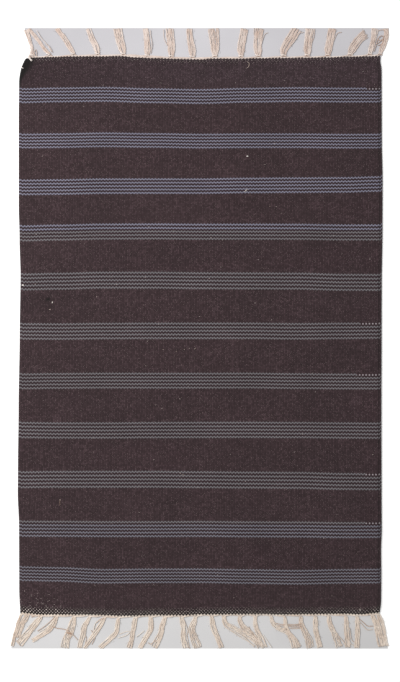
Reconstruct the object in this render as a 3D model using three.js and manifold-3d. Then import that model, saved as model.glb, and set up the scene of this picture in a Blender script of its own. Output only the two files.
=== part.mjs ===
// A small flat-woven kilim rug lying on the floor, seen with its far end towards +Y.
// Millimetres, +Z up, the underside on z = 0.

import * as THREE from 'three';
import { mergeVertices } from 'three/addons/utils/BufferGeometryUtils.js';
import Module from 'manifold-3d';

const wasm = await Module();
wasm.setup();

// Driving dimensions of the cloth
const CLOTH_WIDTH = 600;
const CLOTH_LENGTH = 922;
const CLOTH_THICKNESS = 4;
const CLOTH_SHIFT_Y = 4; // the near fringe is longer, so the cloth lies this far off the middle
const RIM_HEIGHT = 2.6; // height of the cloth's rounded rim
const ROUNDING = 5; // width of the strip in which the surface falls to the rim
const SWELL = { height: 0.35, across: 440, along: 600 }; // soft waves in the surface

// The warp makes one tooth at each end for every pair of its ribs
const TOOTH_COUNT = 111;
const TOOTH_DEPTH = 1.3;
const TEETH_A_COLUMN = 3; // teeth between two columns of points on the surface
const BODY_ROWS = 14;

// The far left corner is turned under, so its outline is drawn in
const CORNER_LENGTH = 43;
const CORNER_DRAW = 13.5;
const CORNER_BOW = 1.6;
const CORNER_RISE = 2.8;
const CORNER_REACH = 60;
const CORNER_ROWS = [44, 32, 22, 13]; // closer rows of points, as distances from the far end
const SIDE_BLEND = 75; // width over which a selvedge's wandering dies out

// Driving dimensions of the fringe
const GAP = 0.35; // between the cloth's teeth and the heading
const HEADING_WIDTH = 2.8;
const HEADING_HEIGHT = 2.4;
const HEADING_STEP = 3; // teeth between two points of the heading's outer line
const LOCK_WIDTH = 1.5;
const LOCK_PITCH = 1.85;
const LOCK_HEIGHT = 1.9;
const LOCK_SIDES = 3;
const LOCK_STEPS = 4;
const LOCK_START = 5.5; // where a lock starts inside its knot, from the end of the cloth
const ROOT_PINCH = 0.82; // how much the locks crowd together in the knot
const KNOT_SEAT = 5.1; // middle of a knot, from the end of the cloth
const KNOT_SIDES = 6;
const KNOT_PROFILE = [[0, 0], [1, 0], [0.8, 0.7], [0, 1]]; // radius and height, as shares
const KNOT = { halfLength: 4, widthShare: 0.95, height: 3.6 };
const NEAR_KNOT_SCALE = 0.85;
const RAGGED = { depth: 1.6, turn: 2.4 }; // how the locks of a bundle differ in length

// How far each edge wanders outwards, by place along it
const FAR_EDGE = [
  { at: -286, out: -0.7 },
  { at: -240, out: 0.9 },
  { at: -212, out: 1.7 },
  { at: -159, out: 1.7 },
  { at: -132, out: 2.2 },
  { at: -106, out: -0.1 },
  { at: -80, out: -1.3 },
  { at: -26, out: -2.8 },
  { at: 0, out: -3.3 },
  { at: 26, out: -1.7 },
  { at: 53, out: -2.3 },
  { at: 106, out: -1.3 },
  { at: 159, out: -0.7 },
  { at: 212, out: -0.1 },
  { at: 238, out: 1.0 },
  { at: 298, out: 2.0 },
];
const NEAR_EDGE = [
  { at: -298, out: -3.5 },
  { at: -265, out: -0.2 },
  { at: -185, out: 0.2 },
  { at: -159, out: 1.0 },
  { at: -132, out: 2.3 },
  { at: -106, out: 2.0 },
  { at: -80, out: 0.8 },
  { at: -26, out: 1.2 },
  { at: 0, out: -0.3 },
  { at: 106, out: -0.8 },
  { at: 132, out: 0 },
  { at: 185, out: -0.8 },
  { at: 238, out: -1.3 },
  { at: 265, out: -0.5 },
  { at: 298, out: -3.2 },
];
const LEFT_EDGE = [
  { at: -461, out: -1.6 },
  { at: -420, out: 0 },
  { at: -318, out: 0.3 },
  { at: -260, out: 2.4 },
  { at: -220, out: 2.1 },
  { at: -120, out: 1.0 },
  { at: 0, out: -0.8 },
  { at: 98, out: -2.1 },
  { at: 160, out: -0.5 },
  { at: 218, out: 0.8 },
  { at: 357, out: 0.8 },
  { at: 416, out: 0.3 },
];
const RIGHT_EDGE = [
  { at: -461, out: -1.9 },
  { at: -358, out: -1.2 },
  { at: -278, out: 0 },
  { at: -120, out: -0.3 },
  { at: 0, out: 0 },
  { at: 80, out: 0.2 },
  { at: 178, out: 1.5 },
  { at: 258, out: 1.7 },
  { at: 317, out: -1.0 },
  { at: 345, out: 0.3 },
  { at: 437, out: 0 },
  { at: 461, out: -1.5 },
];

// Bundles of the fringe: the place across the rug of the knot, of the points one third and two
// thirds of the way out and of the tip, the length out from the cloth, the number of locks, and
// how far they spread at the tip
const FAR_BUNDLES = [
  { root: -279, third: -280, twoThirds: -283, tip: -288, length: 49, locks: 3, spread: 1 },
  { root: -249, third: -259, twoThirds: -268, tip: -279, length: 49, locks: 5, spread: 0.9 },
  { root: -209, third: -217, twoThirds: -227, tip: -237, length: 49, locks: 5, spread: 1 },
  { root: -171, third: -173, twoThirds: -179, tip: -185, length: 50, locks: 6, spread: 0.9 },
  { root: -127, third: -130, twoThirds: -134, tip: -138, length: 49, locks: 6, spread: 1.25 },
  { root: -86, third: -87, twoThirds: -89, tip: -91, length: 51, locks: 6, spread: 1 },
  { root: -48, third: -48, twoThirds: -50, tip: -50, length: 52, locks: 6, spread: 1 },
  { root: -12, third: -13, twoThirds: -15, tip: -18, length: 52, locks: 6, spread: 0.9 },
  { root: 23, third: 23, twoThirds: 22, tip: 22, length: 49, locks: 6, spread: 1.5 },
  { root: 68, third: 69, twoThirds: 71, tip: 74, length: 51, locks: 6, spread: 1 },
  { root: 95, third: 95, twoThirds: 96, tip: 98, length: 50, locks: 6, spread: 1 },
  { root: 141, third: 143, twoThirds: 149, tip: 158, length: 49, locks: 6, spread: 1.2 },
  { root: 178, third: 178, twoThirds: 179, tip: 181, length: 50, locks: 6, spread: 1.3 },
  { root: 211, third: 212, twoThirds: 216, tip: 219, length: 49, locks: 6, spread: 1 },
  { root: 248, third: 251, twoThirds: 261, tip: 272, length: 39, locks: 6, spread: 1.1 },
  { root: 281, third: 285, twoThirds: 288, tip: 291, length: 49, locks: 5, spread: 1.1 },
  { root: 296, third: 303, twoThirds: 308, tip: 311, length: 48, locks: 4, spread: 1 },
];
const NEAR_BUNDLES = [
  { root: -295, third: -302, twoThirds: -306, tip: -311, length: 57, locks: 3, spread: 1 },
  { root: -287, third: -291, twoThirds: -296, tip: -301, length: 43, locks: 3, spread: 1 },
  { root: -262, third: -271, twoThirds: -283, tip: -294, length: 50, locks: 4, spread: 1 },
  { root: -238, third: -242, twoThirds: -255, tip: -275, length: 44, locks: 4, spread: 1 },
  { root: -209, third: -213, twoThirds: -219, tip: -225, length: 58, locks: 4, spread: 1.4 },
  { root: -183, third: -192, twoThirds: -194, tip: -201, length: 57, locks: 4, spread: 1 },
  { root: -160, third: -167, twoThirds: -178, tip: -188, length: 56, locks: 4, spread: 1 },
  { root: -136, third: -137, twoThirds: -147, tip: -160, length: 57, locks: 4, spread: 1 },
  { root: -108, third: -111, twoThirds: -114, tip: -119, length: 58, locks: 4, spread: 1 },
  { root: -80, third: -81, twoThirds: -89, tip: -102, length: 56, locks: 4, spread: 1 },
  { root: -57, third: -63, twoThirds: -67, tip: -77, length: 58, locks: 4, spread: 1 },
  { root: -31, third: -28, twoThirds: -25, tip: -23, length: 57, locks: 4, spread: 1.2 },
  { root: -8, third: -13, twoThirds: -13, tip: -6, length: 58, locks: 4, spread: 1.7 },
  { root: 19, third: 21, twoThirds: 26, tip: 34, length: 58, locks: 4, spread: 1 },
  { root: 39, third: 39, twoThirds: 53, tip: 79, length: 48, locks: 4, spread: 1 },
  { root: 65, third: 66, twoThirds: 82, tip: 96, length: 54, locks: 4, spread: 1 },
  { root: 89, third: 91, twoThirds: 98, tip: 107, length: 57, locks: 4, spread: 1 },
  { root: 118, third: 122, twoThirds: 140, tip: 155, length: 57, locks: 4, spread: 1 },
  { root: 140, third: 141, twoThirds: 154, tip: 166, length: 56, locks: 4, spread: 1 },
  { root: 168, third: 170, twoThirds: 175, tip: 183, length: 57, locks: 4, spread: 1.2 },
  { root: 193, third: 193, twoThirds: 195, tip: 199, length: 58, locks: 4, spread: 1 },
  { root: 214, third: 217, twoThirds: 225, tip: 234, length: 56, locks: 4, spread: 1.5 },
  { root: 242, third: 243, twoThirds: 244, tip: 247, length: 58, locks: 4, spread: 1 },
  { root: 261, third: 262, twoThirds: 261, tip: 262, length: 57, locks: 4, spread: 1 },
  { root: 286, third: 289, twoThirds: 293, tip: 299, length: 57, locks: 4, spread: 1 },
  { root: 296, third: 301, twoThirds: 306, tip: 310, length: 56, locks: 4, spread: 1 },
];

// Single yarns that leave a far bundle's knot by themselves
const LOOSE_YARNS = [
  { root: -83, third: -80, twoThirds: -79, tip: -81, length: 48 },
  { root: -52, third: -57, twoThirds: -61, tip: -61, length: 50 },
  { root: 99, third: 103, twoThirds: 107, tip: 114, length: 41 },
  { root: 215, third: 220, twoThirds: 226, tip: 234, length: 41 },
];

// One near bundle is tied once more, halfway out
const SECOND_KNOT = { across: -218, out: 29, width: 7.4 };

const CLOTH_COLOUR = new THREE.MeshStandardMaterial({ color: '#44383a', roughness: 0.95, metalness: 0 });
const WARP_COLOUR = new THREE.MeshStandardMaterial({ color: '#d3c1b2', roughness: 0.95, metalness: 0 });

// Eased reading of a table of places and outward distances
function wander(rows, at) {
  const first = rows[0];
  const last = rows[rows.length - 1];
  if (at <= first.at) {
    return first.out;
  }
  if (at >= last.at) {
    return last.out;
  }
  const next = rows.findIndex((row) => row.at > at);
  const a = rows[next - 1];
  const b = rows[next];
  return THREE.MathUtils.lerp(a.out, b.out, THREE.MathUtils.smoothstep(at, a.at, b.at));
}

// Distance by which the turned-under corner draws the left selvedge in, at a height up the rug
function cornerDraw(y) {
  const into = (y - (CLOTH_LENGTH / 2 - CORNER_LENGTH)) / CORNER_LENGTH;
  const share = THREE.MathUtils.clamp(into, 0, 1);
  return CORNER_DRAW * (1 - (1 - share ** CORNER_BOW) ** (1 / CORNER_BOW));
}

function leftOffset(y) {
  return cornerDraw(y) - wander(LEFT_EDGE, y);
}

function rightOffset(y) {
  return wander(RIGHT_EDGE, y);
}

// Place across the rug of a rib, given as a share of the width, at a height up the rug
function ribX(share, y) {
  const fromLeft = share * CLOTH_WIDTH;
  const fromRight = CLOTH_WIDTH - fromLeft;
  const leftPull = leftOffset(y) * Math.max(0, 1 - fromLeft / SIDE_BLEND);
  const rightPull = rightOffset(y) * Math.max(0, 1 - fromRight / SIDE_BLEND);
  return fromLeft - CLOTH_WIDTH / 2 + leftPull + rightPull;
}

// The woven end without its teeth: end is 1 for the far end and -1 for the near end
function endY(end, x) {
  return end * (CLOTH_LENGTH / 2 + wander(end > 0 ? FAR_EDGE : NEAR_EDGE, x));
}

// Corner points of the teeth along one end, from left to right, moved out by a distance
function toothLine(end, out) {
  const line = [];
  for (let half = 0; half <= 2 * TOOTH_COUNT; half += 1) {
    const x = ribX(half / (2 * TOOTH_COUNT), (end * CLOTH_LENGTH) / 2);
    const tooth = (half % 2 === 0 ? -0.5 : 0.5) * TOOTH_DEPTH;
    line.push(new THREE.Vector2(x, endY(end, x) + end * (tooth + out)));
  }
  return line;
}

// Height of the cloth's surface away from its rim
function surfaceZ(x, y) {
  const across = Math.sin((2 * Math.PI * x) / SWELL.across + y / SWELL.along);
  const along = Math.sin((2 * Math.PI * y) / SWELL.along - x / SWELL.across);
  const fromCorner = Math.hypot(x + CLOTH_WIDTH / 2, y - CLOTH_LENGTH / 2);
  const near = THREE.MathUtils.clamp(1 - fromCorner / CORNER_REACH, 0, 1);
  return CLOTH_THICKNESS + SWELL.height * across * along + CORNER_RISE * near;
}

// Columns of points, in teeth from the left selvedge, closer at both selvedges
function columnTeeth() {
  const teeth = [0, 1];
  for (let tooth = TEETH_A_COLUMN; tooth < TOOTH_COUNT; tooth += TEETH_A_COLUMN) {
    teeth.push(tooth);
  }
  teeth.push(TOOTH_COUNT - 1, TOOTH_COUNT);
  return teeth;
}

// Rows of points, as shares of the length, closer at the turned-under corner
function rowShares() {
  const cornerStart = CLOTH_LENGTH - CORNER_ROWS[0];
  const rows = [];
  for (let row = 0; row < BODY_ROWS; row += 1) {
    rows.push(THREE.MathUtils.lerp(ROUNDING, cornerStart, row / BODY_ROWS));
  }
  for (const distance of CORNER_ROWS) {
    rows.push(CLOTH_LENGTH - distance);
  }
  rows.push(CLOTH_LENGTH - ROUNDING);
  return rows.map((distance) => distance / CLOTH_LENGTH);
}

// The woven body as one closed sheet: a grid of points on top, teeth at both ends, a flat underside
function clothGeometry() {
  const positions = [];
  const triangles = [];
  const addPoint = (x, y, z) => {
    positions.push(x, y, z);
    return positions.length / 3 - 1;
  };
  const teeth = columnTeeth();
  const lastColumn = teeth.length - 1;

  const grid = rowShares().map((along) => teeth.map((tooth, column) => {
    const share = tooth / TOOTH_COUNT;
    const nominalX = (share - 0.5) * CLOTH_WIDTH;
    const y = THREE.MathUtils.lerp(endY(-1, nominalX), endY(1, nominalX), along);
    const x = ribX(share, y);
    const onRim = column === 0 || column === lastColumn;
    return addPoint(x, y, onRim ? RIM_HEIGHT : surfaceZ(x, y));
  }));
  const nearTeeth = toothLine(-1, 0).map((point) => addPoint(point.x, point.y, RIM_HEIGHT));
  const farTeeth = toothLine(1, 0).map((point) => addPoint(point.x, point.y, RIM_HEIGHT));

  for (let row = 0; row + 1 < grid.length; row += 1) {
    for (let column = 0; column < lastColumn; column += 1) {
      const [a, b] = [grid[row][column], grid[row][column + 1]];
      const [d, c] = [grid[row + 1][column], grid[row + 1][column + 1]];
      triangles.push(a, b, c, a, c, d);
    }
  }

  // Fans of triangles from the last row of points to the teeth
  const fanToTeeth = (row, toothPoints, flip) => {
    const face = (a, b, c) => triangles.push(...(flip ? [a, c, b] : [a, b, c]));
    for (let column = 0; column < lastColumn; column += 1) {
      const first = 2 * teeth[column];
      const last = 2 * teeth[column + 1];
      const middle = (first + last) / 2;
      for (let half = first; half < last; half += 1) {
        const hub = half < middle ? row[column] : row[column + 1];
        face(hub, toothPoints[half], toothPoints[half + 1]);
      }
      face(row[column], toothPoints[middle], row[column + 1]);
    }
  };
  fanToTeeth(grid[0], nearTeeth, false);
  fanToTeeth(grid[grid.length - 1], farTeeth, true);

  // The rim runs anticlockwise, and a wall drops from it to the floor
  const rim = [
    ...nearTeeth,
    ...grid.map((row) => row[lastColumn]),
    ...[...farTeeth].reverse(),
    ...grid.map((row) => row[0]).reverse(),
  ];
  const contour = rim.map((point) => new THREE.Vector2(positions[3 * point], positions[3 * point + 1]));
  const foot = contour.map((point) => addPoint(point.x, point.y, 0));
  rim.forEach((top, i) => {
    const next = (i + 1) % rim.length;
    triangles.push(top, foot[i], foot[next], top, foot[next], rim[next]);
  });
  for (const [a, b, c] of THREE.ShapeUtils.triangulateShape(contour, [])) {
    triangles.push(foot[a], foot[c], foot[b]);
  }

  const geometry = new THREE.BufferGeometry();
  geometry.setAttribute('position', new THREE.Float32BufferAttribute(positions, 3));
  geometry.setIndex(triangles);
  geometry.computeVertexNormals();
  return geometry;
}

// A closed mesh as a solid for joining
function toSolid(geometry) {
  geometry.deleteAttribute('normal');
  geometry.deleteAttribute('uv');
  const welded = mergeVertices(geometry);
  const corners = welded.index.array;
  const kept = [];
  for (let i = 0; i < corners.length; i += 3) {
    const [a, b, c] = [corners[i], corners[i + 1], corners[i + 2]];
    if (a !== b && b !== c && c !== a) {
      kept.push(a, b, c);
    }
  }
  const vertProperties = new Float32Array(welded.attributes.position.array);
  const mesh = new wasm.Mesh({ numProp: 3, vertProperties, triVerts: new Uint32Array(kept) });
  return new wasm.Manifold(mesh);
}

function toGeometry(solid) {
  const mesh = solid.getMesh();
  const geometry = new THREE.BufferGeometry();
  geometry.setAttribute('position', new THREE.BufferAttribute(mesh.vertProperties, 3));
  geometry.setIndex(new THREE.BufferAttribute(mesh.triVerts, 1));
  geometry.computeVertexNormals();
  return geometry;
}

// The heading: warp ends turned sideways along the cloth's teeth
function headingSolid(end) {
  const inner = toothLine(end, GAP);
  const outer = inner.filter((point, half) => half % (2 * HEADING_STEP) === 0);
  const outline = [
    ...inner,
    ...outer.reverse().map((point) => new THREE.Vector2(point.x, endY(end, point.x) + end * HEADING_WIDTH)),
  ];
  return toSolid(new THREE.ExtrudeGeometry(new THREE.Shape(outline), {
    depth: HEADING_HEIGHT,
    bevelEnabled: false,
  }));
}

// A knot: a low dome that lies flat on the floor
function knotSolid(end, x, out, width, scale) {
  const profile = KNOT_PROFILE.map(([radius, height]) => new THREE.Vector2(radius, height));
  const dome = new THREE.LatheGeometry(profile, KNOT_SIDES);
  dome.rotateX(Math.PI / 2);
  dome.scale(width / 2, KNOT.halfLength * scale, KNOT.height * scale);
  dome.translate(x, endY(end, x) + end * out, 0);
  return toSolid(dome);
}

// Middle line of a bundle, from inside its knot to its tip
function bundleCurve(end, bundle) {
  const edge = endY(end, bundle.root);
  const point = (x, out) => new THREE.Vector3(x, edge + end * out, 0);
  return new THREE.CatmullRomCurve3([
    point(bundle.root, LOCK_START),
    point(bundle.third, bundle.length / 3),
    point(bundle.twoThirds, (2 * bundle.length) / 3),
    point(bundle.tip, bundle.length),
  ]);
}

// One lock of yarn: a three-sided strand that rests flat on the floor beside its bundle's middle line
function lockSolid(curve, sideways, spread, reach) {
  const positions = [];
  const triangles = [];
  for (let step = 0; step <= LOCK_STEPS; step += 1) {
    const along = step / LOCK_STEPS;
    const middle = curve.getPoint(along * reach);
    const ahead = curve.getTangent(along * reach);
    const right = new THREE.Vector3(ahead.y, -ahead.x, 0).normalize();
    const opening = step === 0 ? ROOT_PINCH : THREE.MathUtils.lerp(1, spread, along * along);
    middle.addScaledVector(right, sideways * LOCK_PITCH * opening);
    const foot = right.clone().multiplyScalar(LOCK_WIDTH / 2);
    positions.push(middle.x - foot.x, middle.y - foot.y, 0);
    positions.push(middle.x + foot.x, middle.y + foot.y, 0);
    positions.push(middle.x, middle.y, LOCK_HEIGHT);
  }
  for (let step = 0; step < LOCK_STEPS; step += 1) {
    for (let side = 0; side < LOCK_SIDES; side += 1) {
      const a = LOCK_SIDES * step + side;
      const b = LOCK_SIDES * step + ((side + 1) % LOCK_SIDES);
      triangles.push(a, b + LOCK_SIDES, b, a, a + LOCK_SIDES, b + LOCK_SIDES);
    }
  }
  const tip = LOCK_SIDES * LOCK_STEPS;
  triangles.push(0, 1, 2, tip, tip + 2, tip + 1);
  const geometry = new THREE.BufferGeometry();
  geometry.setAttribute('position', new THREE.Float32BufferAttribute(positions, 3));
  geometry.setIndex(triangles);
  return toSolid(geometry);
}

// The locks of a bundle side by side, a little uneven in length
function bundleSolids(end, bundle) {
  const curve = bundleCurve(end, bundle);
  const solids = [];
  for (let lock = 0; lock < bundle.locks; lock += 1) {
    const sideways = lock - (bundle.locks - 1) / 2;
    const shorter = (RAGGED.depth * (1 - Math.cos(RAGGED.turn * lock + bundle.root))) / 2;
    solids.push(lockSolid(curve, sideways, bundle.spread, 1 - shorter / bundle.length));
  }
  return solids;
}

// A whole fringe: heading, knots and locks fused at their roots
function fringeGeometry(end, bundles, looseYarns, extraKnots) {
  const solids = [headingSolid(end), ...extraKnots];
  const knotScale = end > 0 ? 1 : NEAR_KNOT_SCALE;
  for (const bundle of bundles) {
    const width = bundle.locks * LOCK_PITCH * KNOT.widthShare;
    solids.push(knotSolid(end, bundle.root, KNOT_SEAT, width, knotScale));
    solids.push(...bundleSolids(end, bundle));
  }
  for (const yarn of looseYarns) {
    solids.push(lockSolid(bundleCurve(end, yarn), 0, 1, 1));
  }
  return toGeometry(solids.reduce((whole, solid) => whole.add(solid)));
}

function namedMesh(name, geometry, material) {
  const mesh = new THREE.Mesh(geometry, material);
  mesh.name = name;
  return mesh;
}

const secondKnot = knotSolid(-1, SECOND_KNOT.across, SECOND_KNOT.out, SECOND_KNOT.width, NEAR_KNOT_SCALE);

const group = new THREE.Group();
group.position.y = CLOTH_SHIFT_Y;
group.add(namedMesh('rug_cloth', clothGeometry(), CLOTH_COLOUR));
group.add(namedMesh('fringe_far', fringeGeometry(1, FAR_BUNDLES, LOOSE_YARNS, []), WARP_COLOUR));
group.add(namedMesh('fringe_near', fringeGeometry(-1, NEAR_BUNDLES, [], [secondKnot]), WARP_COLOUR));

export default group;
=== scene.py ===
# Looks of the kilim rug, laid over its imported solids.
# Blender works in metres, +Z up, with the rug's far end towards +Y.
# The tables are in millimetres from the middle of the woven cloth, as in the part's source.

import math
import random
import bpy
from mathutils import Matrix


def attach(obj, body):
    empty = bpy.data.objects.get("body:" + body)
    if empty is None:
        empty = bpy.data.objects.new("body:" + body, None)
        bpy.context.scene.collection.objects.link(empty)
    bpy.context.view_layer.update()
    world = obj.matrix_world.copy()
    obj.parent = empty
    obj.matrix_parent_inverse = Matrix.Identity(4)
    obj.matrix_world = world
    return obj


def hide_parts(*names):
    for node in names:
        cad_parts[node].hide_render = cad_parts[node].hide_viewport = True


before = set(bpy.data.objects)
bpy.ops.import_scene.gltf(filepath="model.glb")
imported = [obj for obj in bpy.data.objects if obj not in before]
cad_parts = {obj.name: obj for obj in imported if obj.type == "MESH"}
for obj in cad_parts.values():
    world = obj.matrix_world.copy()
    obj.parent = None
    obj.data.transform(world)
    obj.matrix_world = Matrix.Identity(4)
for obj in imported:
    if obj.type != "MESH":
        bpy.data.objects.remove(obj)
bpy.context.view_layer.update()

from types import SimpleNamespace

import bmesh
import bpy
from mathutils import Vector

MM = 0.001
SEED = 7

# The cloth, with the same values as its solid
CLOTH_WIDTH = 600
CLOTH_LENGTH = 922
CLOTH_THICKNESS = 4
CLOTH_SHIFT_Y = 4
SWELL_HEIGHT = 0.35
SWELL_ACROSS = 440
SWELL_ALONG = 600
CORNER_LENGTH = 43
CORNER_DRAW = 13.5
CORNER_BOW = 1.6
CORNER_RISE = 2.8
CORNER_REACH = 60
SIDE_BLEND = 75

# The weave: warp columns across, weft picks along, and bands of light lines in the picks
WARP_COLUMNS = 222
PICKS = 674
FIRST_BAND_PICK = 38
PICKS_A_REPEAT = 58
PICKS_A_LINE = 4
LIGHT_PICKS = 2
LINES_A_BAND = 5
LAST_LINE = PICKS_A_LINE * (LINES_A_BAND - 1)
BAND_MIDDLE = 9.5
BAND_HALF = 10
END_PICKS = 5
END_PICK_PITCH = 2.5
SECOND_LOT_FROM = PICKS_A_REPEAT + 14.5
THIRD_LOT_FROM = 7 * PICKS_A_REPEAT + 10.5

# Rows of the mesh: the picks of the first two, and the count at each end, in a band and between two
END_ROW = 0.5
SECOND_ROW = 1.9
ROWS_AT_END = 10
ROWS_A_BAND = 6
ROWS_BETWEEN = 11

# Relief of the cloth: the ribs, how many picks the teeth of each end stand out, and how far every
# other tooth is lifted
RIB_HEIGHT = 0.42
TOOTH = {1: 0.45, -1: 0.6}
TOOTH_LIFT = 0.7

# The rim: its height and width, and how far in its wall lies halfway down and at the foot. Points
# count as a side or an end when they lie this close to the plain rectangle.
RIM_HEIGHT = 1.9
RIM_RADIUS = 3.4
RIM_INSET = 0.1
RIM_FOOT = 0.9
RIM_AT_SIDE = 16
RIM_AT_END = 6

# The picks bend up the rug beside the selvedges, but hardly near the ends
TURN_LIFT = 1.9
TURN_REACH = 5.5
TURN_FADE = 30

# The turned-under corner is dark with painted shade: where up the rug it starts and widens, and
# over what distances, its least and full width, and the shares of the width that are all dark and that
# fade
CORNER_DARK_FROM = 402
CORNER_DARK_OVER = 18
CORNER_WIDENS_FROM = 418
CORNER_WIDENS_OVER = 32
CORNER_WIDTHS = (3.5, 16)
CORNER_ALL_DARK = 0.6
CORNER_FADES = 0.9
DARK_SLUB = (-252, 60.6)
SLUB_REACH = 5
FLECK_LIFT = 0.25

# Yarns of the fringe, and how they gather into strands and bundles
YARN_RADIUS = 0.63
YARN_SIDES = 6
YARN_RINGS = 44
YARN_WOBBLE = 0.24
YARN_SHADE = 0.12
YARN_THICKNESS = (0.9, 1.15)
STRAY_RADIUS = 0.55
DRIFT_CHANCE = 0.08
DRIFT = (1.5, 4)
STRAND_YARNS = 3
STRAND_HEIGHT = 0.25
STRAND_HALF_MOST = 2.2
STRAND_FILL = 1.08
STRAND_SHADE = 0.2
STRAND_TURNS = (0.4, 1.1)
STRAND_SWAY = (0.2, 0.7)
STRAND_TWIST = (0.7, 1.6)
BUNDLE_SHADE = 0.1
MIDDLE_POINTS = 12
LINE_STEPS = 10
FREE_TIP_OUT = 47
FREE_TIP_RAGGED = 2.5
HAIR_RADIUS = 0.11
HAIRS_A_BUNDLE = 5

# The far bundles are knotted and the near ones are not: how far out the neck lies, the warp ends'
# longest way along the heading, how much they sag there, and the share of its width in the neck
NECK_OUT = 5
FAR_LEG = 4.4
NEAR_LEG = 3.4
FAR_SAG = 1.2
NEAR_SAG = 1.9
FAR_PINCH = 0.62
NEAR_PINCH = 0.75
CROSSING_LIFT = 1.3
# Painted shade: the far fringe's cotton is toned darker against the stronger light at the far end
FAR_TONE_PAINTED_SHADE = -0.45
NEAR_TONE = 0

# Cords of the heading: the distance out, the height and the radius of a ply
CORD_RINGS = 700
CORD_POINTS = 330
CORD_TURN_POINTS = 3.3
FAR_CORDS = [(1.5, 1, 0.55)]
NEAR_CORDS = [(0.5, 1.25, 0.55), (2.6, 0.7, 0.35)]

# The straight line at each end at which the fringe is trimmed, from the middle of the cloth
TRIM_LINE = {1: 510.2, -1: 517.8}

# Colours are linear red, green, blue and alpha. A pair goes from left to right or from dark to pale.
GROUND = ((0.018, 0.0086, 0.0103, 1), (0.0395, 0.0216, 0.0252, 1))
GROUND_SPECK = (0.060, 0.035, 0.0405, 1)
# Darker, redder ground between the light lines of a band: painted shade beside the lines
GROUND_IN_BAND = (0.021, 0.0085, 0.012, 1)
# Painted light and shade towards the far and near ends, from left to right
FAR_END_PAINTED_LIGHT = ((0.9, 0.9, 0.94, 1), (1.09, 1.15, 1.2, 1))
NEAR_END_PAINTED_LIGHT = ((1.12, 1.12, 1.12, 1), (1, 1, 1, 1))
FIRST_LOT = (0.149, 0.143, 0.171, 1)
SECOND_LOT = (0.14, 0.13, 0.14, 1)
THIRD_LOT = (0.176, 0.171, 0.225, 1)
# Painted highlight on the dots that stand up in the dotted last lines
DOT_PAINTED_HIGHLIGHT = (0.27, 0.235, 0.25, 1)
WARP_SHOWING = (0.74, 0.64, 0.59, 1)
# Painted shade of the turned-under corner, near black; the dark slub takes the same colour
PAINTED_CORNER_SHADE_AND_SLUB = (0.0035, 0.0022, 0.0022, 1)
COTTON = ((0.43, 0.295, 0.225, 1), (0.80, 0.75, 0.70, 1))
COTTON_TINT = ((1, 0.98, 0.94, 1), (1, 1, 1.03, 1))
FLOOR = ((0.94, 0.94, 0.95, 1), (0.97, 0.97, 0.97, 1))
# Tones of the floor strips from left to right, with painted light and shade in them
NEAR_STRIP = ((0.53, 0.526, 0.533, 1), (0.497, 0.491, 0.495, 1))
FAR_STRIP = ((0.392, 0.384, 0.406, 1), (0.432, 0.423, 0.446, 1))

# The floor is painted deeper in a strip under each fringe, out to the trim line: partly the floor's
# own tone where it shows between the bundles, partly painted shade under the fringe. For each end and
# side, in metres from the middle of the cloth: the strip's edge and how far out that is, nearer and
# further
STRIP_SIDES = [
    (-1, -1, (0.2985, 0), (0.3130, 0.055)),
    (-1, 1, (0.2975, 0), (0.3105, 0.055)),
    (1, -1, (0.281, 0.018), (0.291, 0.046)),
    (1, 1, (0.2995, 0), (0.3120, 0.036)),
]
STRIP_START = (0.4575, 0.459)
STRIP_BLUR = 0.001

# Light and camera
SKY_POWER = 0.5
KEY_PLACE = (-1.38, 0.6, 1.9)
KEY_SIZE = 2
KEY_POWER = 76
KEY_COLOUR = (1, 0.99, 0.97)
CAMERA_PLACE = (-0.0006, -0.0043, 1.5726)
CAMERA_LENS = 50.075
CAMERA_SENSOR = 36
FLOOR_SIZE = 4

# How far each edge wanders outwards, by place along it
FAR_EDGE = [
    (-286, -0.7), (-240, 0.9), (-212, 1.7), (-159, 1.7), (-132, 2.2), (-106, -0.1),
    (-80, -1.3), (-26, -2.8), (0, -3.3), (26, -1.7), (53, -2.3), (106, -1.3),
    (159, -0.7), (212, -0.1), (238, 1), (298, 2),
]
NEAR_EDGE = [
    (-298, -3.5), (-265, -0.2), (-185, 0.2), (-159, 1), (-132, 2.3), (-106, 2),
    (-80, 0.8), (-26, 1.2), (0, -0.3), (106, -0.8), (132, 0), (185, -0.8),
    (238, -1.3), (265, -0.5), (298, -3.2),
]
LEFT_EDGE = [
    (-461, -1.6), (-420, 0), (-318, 0.3), (-260, 2.4), (-220, 2.1), (-120, 1),
    (0, -0.8), (98, -2.1), (160, -0.5), (218, 0.8), (357, 0.8), (416, 0.3),
]
RIGHT_EDGE = [
    (-461, -3), (-440, -0.8), (-400, -0.4), (-358, -0.8), (-322, 0.3), (-278, 0),
    (-120, -0.3), (0, 0), (80, 0.2), (178, 1.5), (258, 1.7), (317, 0.5), (345, 0.3),
    (437, 0), (461, -2.6),
]

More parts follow.
